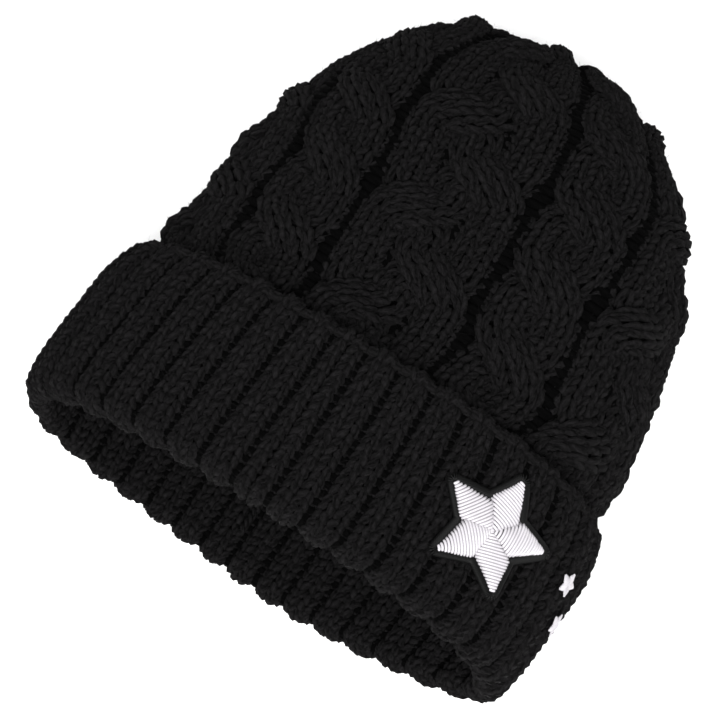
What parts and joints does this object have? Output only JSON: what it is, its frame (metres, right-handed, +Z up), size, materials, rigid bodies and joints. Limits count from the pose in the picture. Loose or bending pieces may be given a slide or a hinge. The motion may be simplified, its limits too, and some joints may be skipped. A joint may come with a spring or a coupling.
{
  "type": "knit beanie",
  "caption": "Black cable-knit beanie with a turned-up ribbed cuff and a small embroidered star, lying on its back.",
  "frame": {"origin": "on the floor under the middle of the hat's box, with the hat lying on its back", "axes": "+X to the right along the brim, +Y from the mouth to the crown's tip, +Z up"},
  "size_m": [0.2115, 0.246, 0.0998],
  "materials": {
    "yarn": "chunky soft-spun acrylic and wool knit",
    "thread_white": "shiny embroidery rayon in satin stitch",
    "thread_black": "embroidery rayon outline",
    "backing": "non-woven embroidery backing",
    "label": "woven satin label tape"
  },
  "bodies": {
    "hat": {"crown_knit": "yarn", "inner_band": "yarn", "turned_cuff": "yarn", "gather_yarn": "yarn", "gather_knot": "yarn", "seam_yarn": "yarn", "motif_star": "thread_white", "motif_outline": "thread_black", "motif_backing": "backing", "small_marks": "thread_white"},
    "label": {"care_label": "label", "label_stitches": "label"}
  },
  "joints": [
    {"name": "label_flip", "type": "hinge", "parent": "hat", "child": "label", "pos_m": [-0.014, 0.001, 0.01], "axis": [0, -1, 0], "range_deg": [0, 150]}
  ]
}
